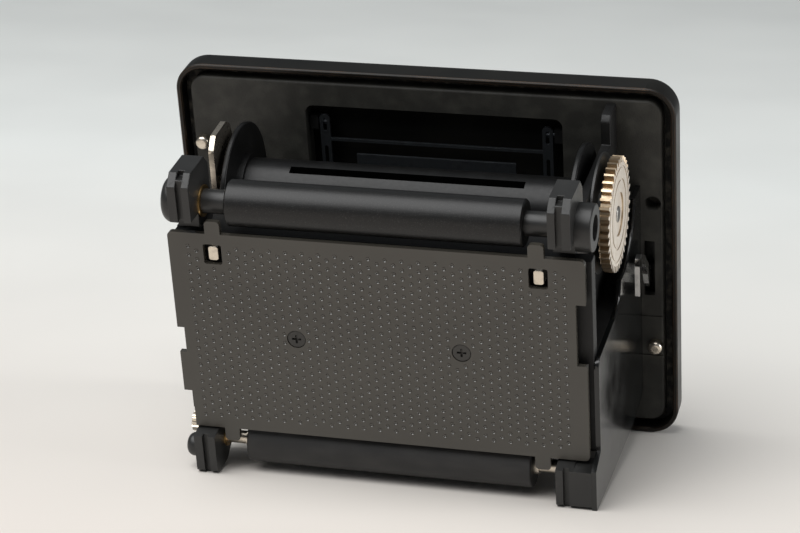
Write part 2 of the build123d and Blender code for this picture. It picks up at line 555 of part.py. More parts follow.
# ---- rollers ------------------------------------------------------------------------------------
def top_roller():
    """Satin black film roller sleeve."""
    half = ROLLER_LEN / 2
    sleeve = rod_x(ROLLER_Y, ROLLER_Z, ROLLER_D, -half, half)
    sleeve = chamfer(sleeve.edges().filter_by(GeomType.CIRCLE), 0.25)
    return sleeve - rod_x(ROLLER_Y, ROLLER_Z, TOP_JOURNAL_D, -half - 1, half + 1)


def top_roller_axle():
    return rod_x(ROLLER_Y, ROLLER_Z, TOP_JOURNAL_D, -BRACKET_OUT + 0.5, BRACKET_OUT - 0.5)


def bottom_roller():
    """Rubber-covered film roller sleeve."""
    half = ROLLER_LEN / 2
    sleeve = rod_x(ROLLER_Y, -ROLLER_Z, ROLLER_D, -half, half)
    sleeve = fillet(sleeve.edges().filter_by(GeomType.CIRCLE), 0.4)
    return sleeve - rod_x(ROLLER_Y, -ROLLER_Z, BOTTOM_AXLE_D, -half - 1, half + 1)


def bottom_roller_axle():
    """Nickel axle with a shoulder at each end of the roller."""
    half = ROLLER_LEN / 2
    axle = rod_x(ROLLER_Y, -ROLLER_Z, BOTTOM_AXLE_D, -BRACKET_IN - 2.2, BRACKET_IN + 2.2)
    for a, b in ((half + 0.02, half + 0.9), (-half - 0.9, -half - 0.02)):
        axle += rod_x(ROLLER_Y, -ROLLER_Z, 3.4, a, b)
    return axle


# ---- pressure plate -----------------------------------------------------------------------------
def plate_outline():
    outline = RectangleRounded(PLATE_W, PLATE_H, PLATE_CORNER)
    for side in (-1, 1):
        outline += Pos(side * TAB_X, PLATE_TOP) * RectangleRounded(TAB_W, 2 * TAB_TOP, 0.7)
        outline += Pos(side * TAB_X, -PLATE_TOP) * RectangleRounded(TAB_W, 2 * TAB_BOTTOM, 0.7)
        outline -= Pos(side * SIGHT_X, SIGHT_Z) * RectangleRounded(SIGHT_W, SIGHT_H, 0.45)
    outline -= shape((35.8, -0.7), (35.8, 11.4), (40.0, 11.4), (40.0, -0.7))
    outline -= shape((-36.3, -4.5), (-36.3, 0.6), (-40.0, 0.6), (-40.0, -4.5))
    outline -= shape((-36.0, -12.6), (-36.0, -30.0), (-40.0, -30.0), (-40.0, -12.6))
    return outline


def pressure_plate():
    plate = face_plate(plate_outline(), 0, PLATE_T)
    for x in (-SCREW_X, SCREW_X):
        plate -= rod_y(x, 0, SCREW_HEAD_D + 0.3, -1, PLATE_T - 0.25)
        plate -= rod_y(x, 0, SCREW_THREAD_D + 0.2, -1, PLATE_T + 1)
    return plate


def pressure_plate_screws():
    return Compound(children=[screw(x, 0, 0.12, 2.4, 0.6) for x in (-SCREW_X, SCREW_X)])


def plate_spring_bar():
    """Stiff bar screwed behind the plate; the leaf springs push on it."""
    bar = block(-22, 22, PLATE_T, PLATE_T + 1.0, -4.0, 4.0)
    return bar - [rod_y(x, 0, SCREW_THREAD_D - 0.05, 0, 5) for x in (-SCREW_X, SCREW_X)]


def plate_guide_pins():
    """Nickel pins fixed to the bridge that guide the plate through its two windows."""
    pins = []
    for side in (-1, 1):
        x = side * SIGHT_X
        pin = block(x - 0.95, x + 0.95, 0.35, BRIDGE_Y, SIGHT_Z - 1.4, SIGHT_Z + 1.4)
        pin = fillet(pin.edges().filter_by(Axis.Y), 0.5)
        tip = pin.edges().filter_by(lambda e: abs(e.center().Y - 0.35) < 1e-3)
        pin = fillet(tip, 0.2)
        pins.append(pin + rod_y(x, SIGHT_Z, 1.4 - 2 * FIT, BRIDGE_Y, BRIDGE_Y + BRIDGE_T))
    return Compound(children=pins)


def plate_leaf_springs():
    """Two bowed leaf springs between the bridge and the plate's bar."""
    springs = []
    for side in (-1, 1):
        points = [(side * 4.0, BRIDGE_Y - 0.22), (side * 9.5, PLATE_T + 1.16), (side * 10.5, PLATE_T + 1.16),
                  (side * 13.0, BRIDGE_Y - 0.5)]
        back = [(x, y + 0.2) for x, y in reversed(points)]
        outline = make_face(Plane.XY * Polyline(*points, *back, close=True))
        springs.append(Pos(0, 0, -2.5) * extrude(outline, 5.0))
    return Compound(children=springs)


# ---- take-up side -------------------------------------------------------------------------------
def toothed_disc(y, z, teeth, module, x0, x1):
    """A spur wheel with straight-sided teeth."""
    tip, root = module * (teeth + 2) / 2, module * (teeth - 2.5) / 2
    points = []
    for i in range(teeth):
        for share, radius in ((0.0, root), (0.2, root), (0.36, tip), (0.64, tip), (0.8, root)):
            a = 2 * math.pi * (i + share) / teeth
            points.append((y + radius * math.cos(a), z + radius * math.sin(a)))
    return side_plate(shape(*points), x0, x1)


WHEEL_RECESS, WHEEL_BORE_D = 0.3, 3.0
GUARD_D, GUARD_T = 22.0, 0.4
GUARD_X = RIGHT_CHEEK_X + CHEEK_T + 0.15             # the disc runs just clear of the side wall


def takeup_wheel():
    """Nickel drive wheel that meshes with the camera's film-wind gear."""
    x1 = WHEEL_OUT_X
    wheel = toothed_disc(SPOOL_Y, SPOOL_TOP_Z, WHEEL_TEETH, WHEEL_MODULE, x1 - WHEEL_T, x1)
    rings = ((17.6, 16.8, 0.12), (13.0, 12.2, 0.15), (8.0, 1.0, WHEEL_RECESS))
    for outer, inner, depth in rings:
        wheel -= rod_x(SPOOL_Y, SPOOL_TOP_Z, outer, x1 - depth, x1 + 1) - rod_x(
            SPOOL_Y, SPOOL_TOP_Z, inner, x1 - 1, x1 + 2)
    return wheel - rod_x(SPOOL_Y, SPOOL_TOP_Z, WHEEL_BORE_D, x1 - WHEEL_T - 1, x1 + 1)


def wheel_guard_disc():
    """Thin disc between the side wall and the wheel, with a boss that spaces the wheel off."""
    x1 = WHEEL_OUT_X - WHEEL_T
    disc = rod_x(SPOOL_Y, SPOOL_TOP_Z, GUARD_D, GUARD_X, GUARD_X + GUARD_T)
    disc += rod_x(SPOOL_Y, SPOOL_TOP_Z, 12.0, GUARD_X, x1)
    return disc - rod_x(SPOOL_Y, SPOOL_TOP_Z, WHEEL_BORE_D, x1 - 4, x1 + 1)


def takeup_drive_shaft():
    """Stepped shaft in the right wall, with a domed end in the wheel and a blade for the spool."""
    tip_x = WHEEL_OUT_X - 0.05
    shaft = rod_x(SPOOL_Y, SPOOL_TOP_Z, WHEEL_BORE_D, GUARD_X, tip_x)
    shaft = fillet(shaft.edges().filter_by(lambda e: abs(e.center().X - tip_x) < 1e-3), 0.24)
    shaft += rod_x(SPOOL_Y, SPOOL_TOP_Z, SHAFT_D, RIGHT_CHEEK_X - 0.4, GUARD_X)
    x_flange = SPOOL_GAP / 2 + SPOOL_FLANGE_T
    shaft += rod_x(SPOOL_Y, SPOOL_TOP_Z, SPOOL_BORE_D - 2 * FIT, x_flange - 2.2, RIGHT_CHEEK_X - 0.3)
    blade = Pos(0, SPOOL_Y, SPOOL_TOP_Z) * Rot(SPOOL_SLOT_LEAN, 0, 0) * Pos(
        x_flange - 1.1, 0, 0) * Box(2.2, 0.9, 7.4)
    return shaft + blade


def takeup_spool():
    """The empty 120 spool that the film winds on to."""
    half = SPOOL_GAP / 2
    spool = rod_x(SPOOL_Y, SPOOL_TOP_Z, SPOOL_CORE_D, -half, half)
    for a, b in ((half, half + SPOOL_FLANGE_T), (-half - SPOOL_FLANGE_T, -half)):
        flange = rod_x(SPOOL_Y, SPOOL_TOP_Z, SPOOL_FLANGE_D, a, b)
        spool += fillet(flange.edges().filter_by(GeomType.CIRCLE), 0.3)
    for side in (-1, 1):
        a, b = sorted((side * half, side * (half - 1.2)))
        spool += rod_x(SPOOL_Y, SPOOL_TOP_Z, SPOOL_CORE_D + 1.6, a, b)
    slot = Box(SPOOL_SLOT_LEN, SPOOL_SLOT_W, SPOOL_CORE_D + 2)
    keys = [Pos(side * (half + SPOOL_FLANGE_T - 1.5), 0, 0) * Box(4.0, 1.2, 7.8) for side in (-1, 1)]
    for cut in [slot] + keys:
        spool -= Pos(0, SPOOL_Y, SPOOL_TOP_Z) * Rot(SPOOL_SLOT_LEAN, 0, 0) * cut
    for side in (-1, 1):
        a, b = sorted((side * (half + 2), side * (half - 8)))
        spool -= rod_x(SPOOL_Y, SPOOL_TOP_Z, SPOOL_BORE_D, a, b)
    return spool


def release_lever(top):
    """Nickel lever with a spool pin; the two levers mirror each other about the chamber divider."""
    spool_z = SPOOL_TOP_Z
    hinge_z = LEVER_HINGE_Z[0]
    outline = shape((15.8, hinge_z + 4.0), (15.8, 28.2), (17.6, 30.6), (23.6, 30.8), (25.6, 29.4),
                    (27.0, 24.0), (32.4, 20.0), (32.4, hinge_z + 4.0), (33.9, hinge_z + 1.0),
                    (33.9, hinge_z), (18.1, hinge_z), (18.1, hinge_z + 1.0))
    lever = side_plate(outline, LEVER_X, LEVER_X + LEVER_T)
    corners = lever.edges().filter_by(Axis.X).filter_by(lambda e: e.center().Z > 19.0)
    lever = fillet(corners, 1.0)
    lever += rod_y(LEVER_HINGE_X, hinge_z, 2.8, 18.1, 33.9)
    lever -= rod_x(SPOOL_Y, spool_z, SPOOL_PIN_HEAD_D, LEVER_X - 1, LEVER_X + 2)
    lever -= rod_y(LEVER_HINGE_X, hinge_z, 1.4 + 2 * FIT, 15, 37)
    return lever if top else flip_down(lever)


SPOOL_PIN_HEAD_D = 3.0


def spool_pin(top):
    """Turned pin riveted to a lever; its nose sits in the spool's end hole."""
    x_face = LEVER_X + LEVER_T
    nose_end = -SPOOL_GAP / 2 + 0.1
    pin = rod_x(SPOOL_Y, SPOOL_TOP_Z, SPOOL_PIN_HEAD_D, LEVER_X - 0.3, x_face)
    pin += rod_x(SPOOL_Y, SPOOL_TOP_Z, 6.4, x_face, x_face + 0.4)
    nose = rod_x(SPOOL_Y, SPOOL_TOP_Z, SPOOL_PIN_D, x_face + 0.3, nose_end)
    tip = nose.edges().filter_by(lambda e: abs(e.center().X - nose_end) < 1e-3)
    pin += chamfer(tip, 0.5)
    return pin if top else flip_down(pin)


def flip_down(part):
    """A take-up part turned into its supply-side twin, mirrored about the chamber divider."""
    return mirror(part, about=Plane.XY.offset(MID_Z))


def lever_hinge_pins():
    pins = [rod_y(LEVER_HINGE_X, z, 1.4, 15.6, 36.4) for z in LEVER_HINGE_Z]
    return Compound(children=pins)


def supply_stud():
    """Fixed stud on the right wall that carries the supply spool's other end."""
    nose_x = SPOOL_GAP / 2 + 0.2
    stud = rod_x(SPOOL_Y, SPOOL_LOW_Z, SPOOL_PIN_D, nose_x, RIGHT_CHEEK_X)
    tip = stud.edges().filter_by(lambda e: abs(e.center().X - nose_x) < 1e-3)
    stud = chamfer(tip, 0.4)
    return stud + rod_x(SPOOL_Y, SPOOL_LOW_Z, 2.4 - 2 * FIT, RIGHT_CHEEK_X,
                        RIGHT_CHEEK_X + CHEEK_T + 0.4)


def supply_brake_spring():
    """Leaf spring that drags on the supply roll so the film stays tight."""
    y0 = PANEL_Y - 0.02
    points = [(y0, -4.0), (y0 - 0.25, -4.0), (y0 - 0.25, -8.6), (y0 - 2.8, -13.0), (y0 - 0.35, -17.6),
              (y0 - 0.05, -17.6), (y0 - 2.5, -13.0), (y0, -8.8)]
    return side_plate(shape(*points), -6.0, 6.0)


# ---- write every part ---------------------------------------------------------------------------
write("cover_shell", cover_shell())
write("cover_light_seal", cover_light_seal())
write("inner_panel", inner_panel())
write("locating_pins", locating_pins())
write("panel_screws", panel_screws())
write("latch_slide", latch_slide())
write("latch_guide_rivets", latch_guide_rivets())
write("lock_key_hub", lock_key_hub())
write("lock_cam_disc", lock_cam_disc())
write("lock_key_handle", lock_key_handle())
write("handle_pin", handle_pin())
write("lock_escutcheon", lock_escutcheon())
write("roll_guide", roll_guide())
write("roll_guide_supports", roll_guide_supports())
write("front_bridge", front_bridge())
write("spool_divider", spool_divider())
write("left_cheek", left_cheek())
write("right_cheek", right_cheek())
write("right_ledge", right_ledge())
write("right_side_cover", right_side_cover())
write("supply_floor", supply_floor())
write("top_left_bracket", top_bracket(-1))
write("top_right_bracket", top_bracket(1))
write("top_left_cap", top_left_cap())
write("top_right_tube", top_right_tube())
write("top_roller_bushes", Compound(children=[bush(s, ROLLER_Z, TOP_JOURNAL_D, BUSH_WALL) for s in (-1, 1)]))
write("bottom_left_foot", bottom_left_foot())
write("bottom_right_foot", bottom_right_foot())
write("bottom_roller_bushes",
      Compound(children=[bush(s, -ROLLER_Z, BOTTOM_AXLE_D, BUSH_WALL) for s in (-1, 1)]))
write("foot_stud", foot_stud())
write("eccentric_screw", eccentric_screw())
write("top_roller", top_roller())
write("top_roller_axle", top_roller_axle())
write("bottom_roller", bottom_roller())
write("bottom_roller_axle", bottom_roller_axle())
write("pressure_plate", pressure_plate())
write("pressure_plate_screws", pressure_plate_screws())
write("plate_spring_bar", plate_spring_bar())
write("plate_guide_pins", plate_guide_pins())
write("plate_leaf_springs", plate_leaf_springs())
write("takeup_wheel", takeup_wheel())
write("wheel_guard_disc", wheel_guard_disc())
write("takeup_drive_shaft", takeup_drive_shaft())
write("takeup_spool", takeup_spool())
write("takeup_lever", release_lever(top=True))
write("supply_lever", release_lever(top=False))
write("takeup_spool_pin", spool_pin(top=True))
write("supply_spool_pin", spool_pin(top=False))
write("lever_hinge_pins", lever_hinge_pins())
write("supply_stud", supply_stud())
write("supply_brake_spring", supply_brake_spring())
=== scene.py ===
# %% [markdown]
# # A roll-film insert
#
# The object is the film holder that slides into the back of a medium-format camera. A dimpled
# pressure plate keeps the film flat, two rollers lead it round the corners, and a toothed wheel
# turns the take-up spool. Everything is fixed to a back cover, which closes the camera.
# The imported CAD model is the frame: it has every part at its real size, in metres. The lesson adds
# what a CAD kernel leaves out: soft edges, the dimples, the finishes, the light and the camera.

# %% Load the frame
import json
import math
import bpy
from mathutils import Matrix, Vector

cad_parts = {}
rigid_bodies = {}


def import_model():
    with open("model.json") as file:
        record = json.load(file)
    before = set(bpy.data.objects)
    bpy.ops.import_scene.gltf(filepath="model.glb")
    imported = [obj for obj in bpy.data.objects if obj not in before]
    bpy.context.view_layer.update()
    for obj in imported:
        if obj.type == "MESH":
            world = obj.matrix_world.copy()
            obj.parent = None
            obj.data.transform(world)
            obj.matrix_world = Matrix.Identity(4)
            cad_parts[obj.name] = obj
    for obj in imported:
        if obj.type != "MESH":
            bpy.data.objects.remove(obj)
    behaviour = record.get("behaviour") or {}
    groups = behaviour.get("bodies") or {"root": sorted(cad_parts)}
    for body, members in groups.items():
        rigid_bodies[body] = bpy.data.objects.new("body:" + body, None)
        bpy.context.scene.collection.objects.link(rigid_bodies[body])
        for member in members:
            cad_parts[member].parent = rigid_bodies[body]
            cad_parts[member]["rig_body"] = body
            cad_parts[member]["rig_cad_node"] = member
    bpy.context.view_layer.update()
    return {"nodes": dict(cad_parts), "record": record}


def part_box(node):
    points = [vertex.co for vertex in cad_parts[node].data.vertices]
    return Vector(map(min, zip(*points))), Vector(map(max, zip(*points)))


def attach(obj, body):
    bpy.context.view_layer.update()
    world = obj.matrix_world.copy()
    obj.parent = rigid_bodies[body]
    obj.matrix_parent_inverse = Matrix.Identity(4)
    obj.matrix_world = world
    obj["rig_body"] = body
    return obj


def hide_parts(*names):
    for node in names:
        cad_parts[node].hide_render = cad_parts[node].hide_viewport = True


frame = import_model()
nodes = frame["nodes"]
print("parts in the frame:", len(nodes))


# %% [markdown]
# ## Small helpers
#
# Sizes are easier to read in millimetres, and Blender works in metres, so one function converts.
# Operators act on everything that is selected. The import leaves all of it selected, so each step
# starts by clearing the selection and choosing one object.

# %% Units and selection
def mm(value):
    """Millimetres as metres."""
    return value / 1000


def choose(obj):
    """Make obj the only selected object, and the active one."""
    bpy.ops.object.select_all(action="DESELECT")
    obj.select_set(True)
    bpy.context.view_layer.objects.active = obj
    return obj


def settle(obj):
    """Move an object's place into its mesh, so that the object sits at the origin."""
    choose(obj)
    bpy.ops.object.transform_apply(location=True, rotation=True, scale=True)
    return obj


def paint(obj, material):
    """Give every face of an object one material."""
    obj.data.materials.clear()
    obj.data.materials.append(material)


# %% [markdown]
# ## Node recipes
#
# Every finish here is a Principled shader with a little noise in its colour, its roughness and its
# bump. The noise reads Object coordinates. All the parts sit at the origin, so a grain keeps its
# real size in metres on each of them. A few short functions save writing the same nodes each time.

# %% Material helpers
def new_finish(name, color, roughness, metallic=0.0, **sockets):
    """A new material with its Principled shader set, and the shader's node."""
    material = bpy.data.materials.new(name)
    material.use_nodes = True
    shader = material.node_tree.nodes["Principled BSDF"]
    shader.inputs["Base Color"].default_value = (*color, 1)
    shader.inputs["Roughness"].default_value = roughness
    shader.inputs["Metallic"].default_value = metallic
    for socket, value in sockets.items():
        shader.inputs[socket.replace("_", " ")].default_value = value
    return material, shader


def place_node(material, kind, **inputs):
    """A node of that kind with its sockets set by name."""
    node = material.node_tree.nodes.new(kind)
    for socket, value in inputs.items():
        node.inputs[socket.replace("_", " ")].default_value = value
    return node


def grain(material, size, detail=3.0, stretch=(1, 1, 1)):
    """Noise with blobs about size millimetres across, in object space. Returns its output."""
    links = material.node_tree.links
    turn = place_node(material, "ShaderNodeMapping", Scale=stretch)
    noise = place_node(material, "ShaderNodeTexNoise", Scale=1 / mm(size), Detail=detail)
    links.new(object_place(material), turn.inputs["Vector"])
    links.new(turn.outputs["Vector"], noise.inputs["Vector"])
    return noise.outputs["Fac"]


def ramp(material, source, low, high, start, end):
    """A colour ramp from start to end, as source goes from low to high."""
    node = place_node(material, "ShaderNodeValToRGB")
    node.color_ramp.elements[0].position = low
    node.color_ramp.elements[1].position = high
    node.color_ramp.elements[0].color = (*start, 1)
    node.color_ramp.elements[1].color = (*end, 1)
    material.node_tree.links.new(source, node.inputs["Fac"])
    return node.outputs["Color"]


NOISE_LOW, NOISE_HIGH = 0.3, 0.7     # nearly all of a noise lies between these


def spread(material, source, low, high):
    """A number from low to high, as a noise goes from NOISE_LOW to NOISE_HIGH."""
    return rescale(material, source, (NOISE_LOW, NOISE_HIGH), (low, high))


def rescale(material, source, before, after=(0.0, 1.0)):
    """A number moved from one range into another."""
    node = place_node(material, "ShaderNodeMapRange", From_Min=before[0], From_Max=before[1],
                      To_Min=after[0], To_Max=after[1])
    material.node_tree.links.new(source, node.inputs["Value"])
    return node.outputs["Result"]


def parts_of(material, vector):
    """The X, Y and Z outputs of a vector."""
    split = place_node(material, "ShaderNodeSeparateXYZ")
    material.node_tree.links.new(vector, split.inputs["Vector"])
    return split.outputs


def object_place(material):
    """The shaded point, in the object's own coordinates."""
    return place_node(material, "ShaderNodeTexCoord").outputs["Object"]


def face_normal(material):
    """The normal of the flat face, with no smoothing."""
    return place_node(material, "ShaderNodeNewGeometry").outputs["True Normal"]


def combine(material, kind, operation, first, second):
    """A maths node fed with two values, each an output or a constant."""
    node = place_node(material, kind)
    node.operation = operation
    for socket, value in zip(node.inputs, (first, second)):
        if isinstance(value, bpy.types.NodeSocket):
            material.node_tree.links.new(value, socket)
        else:
            socket.default_value = value
    return node


MIX_COLORS = (6, 7, 2)     # a Mix node's two colour inputs, and its colour output
MIX_NUMBERS = (2, 3, 0)    # the same for its numbers


def blend(material, factor, first, second, sockets=MIX_COLORS):
    """Goes from first to second, each an output or a constant, as factor goes from 0 to 1."""
    node = place_node(material, "ShaderNodeMix")
    if sockets == MIX_COLORS:
        node.data_type = "RGBA"
    links = material.node_tree.links
    links.new(factor, node.inputs["Factor"])
    for index, value in zip(sockets, (first, second)):
        if isinstance(value, bpy.types.NodeSocket):
            links.new(value, node.inputs[index])
        else:
            node.inputs[index].default_value = value
    return node.outputs[sockets[2]]


def roughen(material, shader, source, height, strength=1.0):
    """Bump of that height in millimetres, fed to the shader."""
    bump = place_node(material, "ShaderNodeBump", Strength=strength, Distance=mm(height))
    material.node_tree.links.new(source, bump.inputs["Height"])
    material.node_tree.links.new(bump.outputs["Normal"], shader.inputs["Normal"])


def bare_edges(material, painted, metal, width, low, high):
    """Paint worn off along edges of that width in millimetres.

    A rounded normal leans away from the surface's own one there. Gives the colour and the wear."""
    soft = place_node(material, "ShaderNodeBevel", Radius=mm(width))
    soft.samples = 6
    own = place_node(material, "ShaderNodeNewGeometry")
    lean = combine(material, "ShaderNodeVectorMath", "DOT_PRODUCT", soft.outputs["Normal"],
                   own.outputs["Normal"])
    edge = rescale(material, lean.outputs["Value"], (high, low))
    patches = spread(material, grain(material, 5.0, 4.0), 0.0, 1.0)
    worn = combine(material, "ShaderNodeMath", "MULTIPLY", edge, patches).outputs["Value"]
    return blend(material, worn, painted, (*metal, 1)), worn


# %% [markdown]
# ## Painted and plated metal
#
# The cover and brackets are die castings sprayed satin black. Paint is not metallic in the shader:
# it is a dark base under a soft reflection. Where fingers rub the cover's rim the brass shows.
# Nickel and chrome are metallic, and differ in colour and in how sharply they reflect.

# %% Black paint
def satin_paint(name, base, rough, grain_mm, height):
    """Sprayed black paint with a faint orange-peel."""
    material, shader = new_finish(name, base, rough, Specular_IOR_Level=0.40)
    links = material.node_tree.links
    speckle = grain(material, grain_mm, 2.0)
    broad = grain(material, 9.0, 4.0)
    light = tuple(1.7 * value for value in base)
    links.new(ramp(material, broad, 0.35, 0.7, base, light), shader.inputs["Base Color"])
    links.new(spread(material, broad, rough - 0.05, rough + 0.07), shader.inputs["Roughness"])
    roughen(material, shader, speckle, height, 0.6)
    return material


bracket_paint = satin_paint("bracket_paint", (0.014, 0.014, 0.0135), 0.36, 0.16, 0.015)


def cover_finish():
    """The cover's satin paint, rubbed through to brass at the rim."""
    material, shader = new_finish("cover_paint", (0.007, 0.007, 0.006), 0.36,
                                  Specular_IOR_Level=0.22)
    links = material.node_tree.links
    broad = grain(material, 11.0, 5.0)
    painted = ramp(material, broad, 0.3, 0.7, (0.005, 0.005, 0.0045), (0.010, 0.0095, 0.008))
    rubbed_brass = (0.23, 0.12, 0.055)
    color, worn = bare_edges(material, painted, rubbed_brass, width=0.5, low=0.80, high=0.97)
    links.new(color, shader.inputs["Base Color"])
    links.new(worn, shader.inputs["Metallic"])
    links.new(spread(material, broad, 0.32, 0.42), shader.inputs["Roughness"])
    roughen(material, shader, grain(material, 0.2, 2.0), 0.01, 0.4)
    return material


cover_paint = cover_finish()


# %% Plated and bare metal
def plated(name, base, rough, size=0.5):
    """Plated metal with marks about size millimetres across, from turning or handling."""
    material, shader = new_finish(name, base, rough, 1.0)
    links = material.node_tree.links
    marks = grain(material, size, 4.0)
    dull = tuple(0.62 * value for value in base)
    links.new(ramp(material, marks, 0.2, 0.5, dull, base), shader.inputs["Base Color"])
    links.new(spread(material, marks, rough + 0.06, rough), shader.inputs["Roughness"])
    roughen(material, shader, marks, 0.002, 0.3)
    return material


nickel = plated("nickel", (0.62, 0.56, 0.47), 0.26, size=1.2)
chrome = plated("chrome", (0.80, 0.80, 0.79), 0.06, size=1.5)
brass = plated("brass", (0.62, 0.40, 0.16), 0.28)
steel_screw = plated("steel_screw", (0.42, 0.41, 0.39), 0.30, size=0.3)
black_screw = satin_paint("black_screw", (0.022, 0.021, 0.019), 0.38, 0.2, 0.004)
spring_steel = plated("spring_steel", (0.16, 0.175, 0.19), 0.40, size=2.0)


# %% [markdown]
# ## Plastics, foam and rubber
#
# The chassis is moulded in a matte black plastic with a fine texture. The right-hand housing is
# polished so well that it mirrors the white table, and its finish is nearly all reflection. The
# seal in the cover's groove is foam, with the grey dust that such foam gathers.

# %% Moulded plastic
def moulded(name, base, rough, grain_mm, height, shine=0.4):
    """Textured black plastic."""
    material, shader = new_finish(name, base, rough, Specular_IOR_Level=shine)
    links = material.node_tree.links
    fine = grain(material, grain_mm, 3.0)
    dust = grain(material, 4.0, 6.0)
    lighter = tuple(2.2 * value for value in base)
    links.new(ramp(material, dust, 0.45, 0.8, base, lighter), shader.inputs["Base Color"])
    links.new(spread(material, fine, rough - 0.04, rough + 0.06), shader.inputs["Roughness"])
    roughen(material, shader, fine, height, 0.8)
    return material


chassis_plastic = moulded("chassis_plastic", (0.006, 0.006, 0.006), 0.50, 0.25, 0.03, 0.3)
panel_plastic = moulded("panel_plastic", (0.020, 0.0195, 0.0165), 0.60, 0.30, 0.05)
spool_plastic = moulded("spool_plastic", (0.0035, 0.0035, 0.0035), 0.36, 0.5, 0.006, 0.28)


# %% Polished housing
BOW = math.tan(math.radians(1.6))     # how far the moulding's side leans from flat
METRE = 1000                          # in millimetres: the bow is already a height in metres


def polished():
    """Gloss black: a smooth dark body with a clear reflection, bowed a little like any moulding."""
    material, shader = new_finish("gloss_black", (0.004, 0.004, 0.004), 0.14)
    links = material.node_tree.links
    smear = grain(material, 7.0, 5.0)
    links.new(spread(material, smear, 0.11, 0.19), shader.inputs["Roughness"])
    links.new(ramp(material, smear, 0.4, 0.8, (0.004, 0.004, 0.004), (0.007, 0.008, 0.008)),
              shader.inputs["Base Color"])
    along = parts_of(material, object_place(material))["Y"]
    bow = combine(material, "ShaderNodeMath", "MULTIPLY", along, -BOW)
    roughen(material, shader, bow.outputs["Value"], METRE)
    return material


gloss_black = polished()


# %% Foam and rubber
def foam():
    """Light-seal foam with dust caught in it."""
    material, shader = new_finish("seal_foam", (0.012, 0.012, 0.011), 0.95)
    links = material.node_tree.links
    cells = grain(material, 0.35, 4.0)
    dust = grain(material, 1.6, 8.0)
    links.new(ramp(material, dust, 0.48, 0.72, (0.010, 0.010, 0.009), (0.075, 0.068, 0.055)),
              shader.inputs["Base Color"])
    roughen(material, shader, cells, 0.15, 1.0)
    return material


def rubber():
    """The lower roller's rubber sleeve."""
    material, shader = new_finish("roller_rubber", (0.010, 0.010, 0.010), 0.58)
    links = material.node_tree.links
    bloom = grain(material, 3.0, 5.0, (0.5, 1, 1))
    links.new(ramp(material, bloom, 0.4, 0.75, (0.009, 0.009, 0.009), (0.020, 0.019, 0.018)),
              shader.inputs["Base Color"])
    roughen(material, shader, grain(material, 0.18, 2.0), 0.02, 0.6)
    return material


seal_foam = foam()
roller_rubber = rubber()


# %% [markdown]
# ## The two film surfaces
#
# The pressure plate has a warm dark grey coating with a dull shine. The film never reaches into its
# dimples, so they keep a sharper one: the face's own normal tells the dimples from the flat. The
# upper roller is anodised and bead-blasted, so that it sparkles: a noise much finer than a
# millimetre drives both its bump and its roughness. The same noise also paints pale specks into
# the colour, and these are painted sparkle.

# %% Plate coating and blasted roller
FRONT_TO_SLOPE = (-0.99, -0.95)     # the normal's Y on the flat front, and on a dimple's side
BOWL_ROUGH = 0.20


def plate_finish():
    """Warm grey coating, slightly rubbed where the film runs and shinier in the dimples."""
    material, shader = new_finish("plate_coating", (0.045, 0.042, 0.035), 0.33)
    links = material.node_tree.links
    cloud = grain(material, 22.0, 4.0, (0.5, 1, 1))
    fine = grain(material, 0.22, 2.0)
    links.new(ramp(material, cloud, 0.3, 0.7, (0.040, 0.0365, 0.030), (0.052, 0.048, 0.040)),
              shader.inputs["Base Color"])
    bowl = rescale(material, parts_of(material, face_normal(material))["Y"], FRONT_TO_SLOPE)
    rubbed = spread(material, cloud, 0.30, 0.36)
    links.new(blend(material, bowl, rubbed, BOWL_ROUGH, MIX_NUMBERS), shader.inputs["Roughness"])
    links.new(rescale(material, bowl, (0.0, 1.0), (0.5, 1.0)), shader.inputs["Specular IOR Level"])
    roughen(material, shader, fine, 0.012, 0.5)
    return material


def blasted():
    """Bead-blasted black anodising, with painted sparkle: pale specks in its colour."""
    material, shader = new_finish("roller_black", (0.005, 0.005, 0.005), 0.38,
                                  Specular_IOR_Level=0.36)
    links = material.node_tree.links
    spark = grain(material, 0.14, 1.0)
    # The brightest specks of the fine noise are painted paler in the base colour: painted sparkle,
    # on top of the real sparkle from the bump and roughness.
    links.new(ramp(material, spark, 0.58, 0.75, (0.004, 0.004, 0.004), (0.04, 0.04, 0.038)),
              shader.inputs["Base Color"])
    links.new(spread(material, spark, 0.34, 0.44), shader.inputs["Roughness"])
    roughen(material, shader, spark, 0.012, 0.7)
    return material


plate_coating = plate_finish()
roller_black = blasted()


# %% [markdown]
# ## Turned marks on the toothed wheel
#
# The wheel was faced in a lathe, so its marks are circles about its axis. The distance from the
# axis is worked out from the object coordinates, and the noise reads that distance, not the place.
# The teeth are coloured a darker brown than the faced side, chosen by the normal: painted shade.

# %% Lathe-turned nickel
RING_WIDTH = mm(0.35)
ACROSS_AXIS = (0, 1, 1)          # keeps Y and Z, which lie across the wheel's axis
TOOTH_TO_SIDE = (0.5, 0.9)       # the normal's X on the cut teeth, and on the faced side
FACED_METALLIC = 0.35            # the faced side scatters light, like brushed metal


